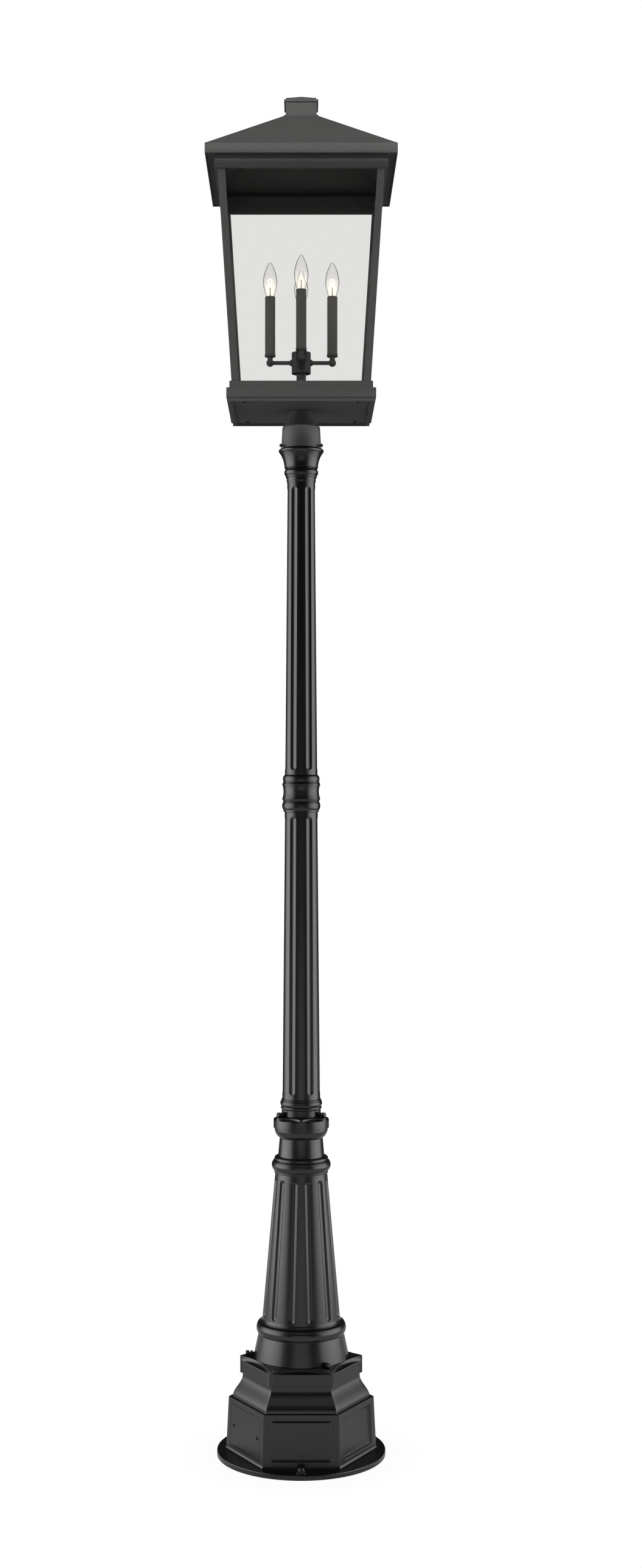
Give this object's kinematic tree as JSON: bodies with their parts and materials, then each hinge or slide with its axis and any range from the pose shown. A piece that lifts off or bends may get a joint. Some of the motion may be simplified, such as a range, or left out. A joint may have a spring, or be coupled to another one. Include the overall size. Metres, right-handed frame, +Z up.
{
  "type": "outdoor post light",
  "caption": "Outdoor post light: a square glass lantern with candle lamps under a hipped roof, on a fluted post with a hexagonal pedestal and a round base plate.",
  "frame": {"origin": "centre of the base plate's underside, on the ground", "axes": "+Z up the post, -Y to the front, with the access door to the left of the front"},
  "size_m": [0.425, 0.425, 3.119],
  "materials": {
    "post_paint": "satin black paint on cast aluminium",
    "lantern_paint": "fine-textured black powder coat on aluminium",
    "zinc_steel": "zinc-plated steel",
    "black_fastener": "blackened steel",
    "gasket_rubber": "matt rubber",
    "candle_paint": "matt black candle sleeve",
    "holder_plastic": "moulded lampholder",
    "pane_glass": "clear float glass",
    "lamp_brass": "bright brass cap",
    "lamp_glass": "clear blown glass",
    "filament_wire": "glowing wire on a glass mount"
  },
  "bodies": {
    "post": {"base_plate": "post_paint", "plate_screws": "zinc_steel", "anchor_washers": "black_fastener", "anchor_nuts": "black_fastener", "hex_pedestal": "post_paint", "door_gasket": "gasket_rubber", "fluted_column": "post_paint", "pedestal_bolts": "black_fastener", "lower_shaft": "post_paint", "collar_bolts": "black_fastener", "mid_collar": "post_paint", "upper_shaft": "post_paint", "post_capital": "post_paint", "tenon_tube": "post_paint"},
    "door": {"access_door": "post_paint", "door_screws": "black_fastener"},
    "lantern": {"post_fitter": "lantern_paint", "fitter_screws": "black_fastener", "bottom_cover": "lantern_paint", "cover_screws": "black_fastener", "lantern_base": "lantern_paint", "corner_post_1": "lantern_paint", "corner_post_2": "lantern_paint", "corner_post_3": "lantern_paint", "corner_post_4": "lantern_paint", "glass_front": "pane_glass", "glass_right": "pane_glass", "glass_rear": "pane_glass", "glass_left": "pane_glass", "frieze_ring": "lantern_paint", "glass_clips": "lantern_paint", "corner_tabs": "lantern_paint", "stem": "lantern_paint", "stem_nuts": "zinc_steel", "lamp_hub": "lantern_paint", "hub_cover": "lantern_paint", "lamp_arms": "lantern_paint", "candle_cups": "lantern_paint", "candle_sleeves": "candle_paint", "lampholders": "holder_plastic"},
    "roof": {"roof_slopes": "lantern_paint", "roof_fascia": "lantern_paint", "roof_cap": "lantern_paint", "roof_soffit": "lantern_paint", "finial_neck": "lantern_paint", "finial_cap": "lantern_paint", "finial_rod": "zinc_steel"},
    "lamp_front": {"lamp_cap_front": "lamp_brass", "lamp_bulb_front": "lamp_glass", "lamp_filament_front": "filament_wire"},
    "lamp_right": {"lamp_cap_right": "lamp_brass", "lamp_bulb_right": "lamp_glass", "lamp_filament_right": "filament_wire"},
    "lamp_rear": {"lamp_cap_rear": "lamp_brass", "lamp_bulb_rear": "lamp_glass", "lamp_filament_rear": "filament_wire"},
    "lamp_left": {"lamp_cap_left": "lamp_brass", "lamp_bulb_left": "lamp_glass", "lamp_filament_left": "filament_wire"}
  },
  "joints": [
    {"name": "lantern_swivel", "type": "hinge", "parent": "post", "child": "lantern", "pos_m": [0, 0, 2.3508], "axis": [0, 0, 1], "range_deg": [-180, 180]},
    {"name": "roof_lift", "type": "slide", "parent": "lantern", "child": "roof", "axis": [0, 0, 1], "range_m": [0, 0.2]},
    {"name": "door_pull", "type": "slide", "parent": "post", "child": "door", "axis": [-0.8653, -0.4996, 0.0421], "range_m": [0, 0.06]},
    {"name": "lamp_turn_front", "type": "hinge", "parent": "lantern", "child": "lamp_front", "pos_m": [0, -0.0715, 2.6328], "axis": [0, 0, 1], "continuous": true},
    {"name": "lamp_turn_right", "type": "hinge", "parent": "lantern", "child": "lamp_right", "pos_m": [0.0715, 0, 2.6328], "axis": [0, 0, 1], "continuous": true},
    {"name": "lamp_turn_rear", "type": "hinge", "parent": "lantern", "child": "lamp_rear", "pos_m": [0, 0.0715, 2.6328], "axis": [0, 0, 1], "continuous": true},
    {"name": "lamp_turn_left", "type": "hinge", "parent": "lantern", "child": "lamp_left", "pos_m": [-0.0715, 0, 2.6328], "axis": [0, 0, 1], "continuous": true}
  ]
}
